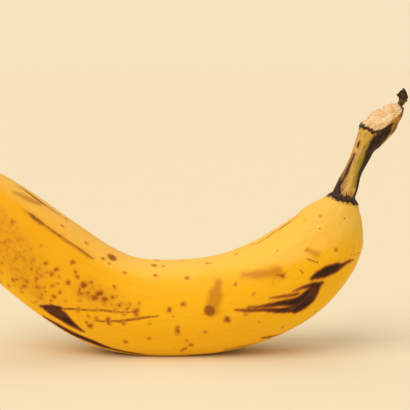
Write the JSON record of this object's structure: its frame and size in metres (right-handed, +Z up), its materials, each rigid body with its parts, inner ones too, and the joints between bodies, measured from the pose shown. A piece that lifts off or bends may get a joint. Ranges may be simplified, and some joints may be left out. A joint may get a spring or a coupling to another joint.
{
  "type": "banana",
  "caption": "Ripe, spotted banana lying on the outside of its bend, with its stalk and a torn piece of crown standing up at one end.",
  "frame": {"origin": "on the ground, under the middle of the fruit's box", "axes": "+X towards the stalk end, +Z up, -Y faces the front of the fruit"},
  "size_m": [0.1908, 0.036, 0.1064],
  "materials": {
    "peel": "ripe yellow peel with a waxy satin sheen, brown spots and dark bruises; brown stalk end and tip"
  },
  "bodies": {
    "root": {"banana": "peel"}
  },
  "joints": []
}
